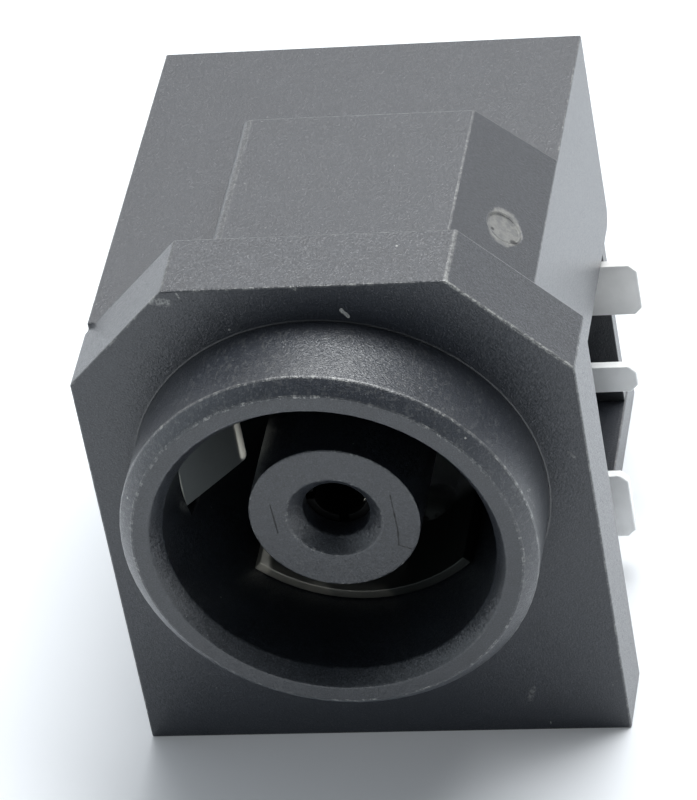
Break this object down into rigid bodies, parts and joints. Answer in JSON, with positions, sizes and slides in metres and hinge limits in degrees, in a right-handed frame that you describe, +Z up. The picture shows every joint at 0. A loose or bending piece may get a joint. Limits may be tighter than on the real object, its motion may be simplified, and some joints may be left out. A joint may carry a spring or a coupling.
{
  "type": "dc barrel jack",
  "caption": "Board-edge DC barrel jack: black moulded housing with a chamfered flange, round collar, centre post with a pin hole, sprung sleeve contacts and three short flat legs on one side.",
  "frame": {"origin": "on the bore axis, at the front face of the flange, where the collar starts", "axes": "+Y runs into the jack along the bore axis, +X points to the circuit board and along the legs, +Z points up from the face that the jack rests on"},
  "size_m": [0.012, 0.0156, 0.0138],
  "materials": {
    "housing_plastic": "black moulded polyester with a fine spark-eroded grain",
    "cover_plastic": "black moulded polyester, smoother than the housing",
    "contact_metal": "tin plated copper alloy sheet, satin",
    "socket_metal": "tin plated copper alloy sheet, satin, with bare cut edges"
  },
  "bodies": {
    "root": {"housing": "housing_plastic", "rear_cover": "cover_plastic", "centre_contact": "socket_metal", "sleeve_contact": "contact_metal", "side_spring": "contact_metal"}
  },
  "joints": []
}
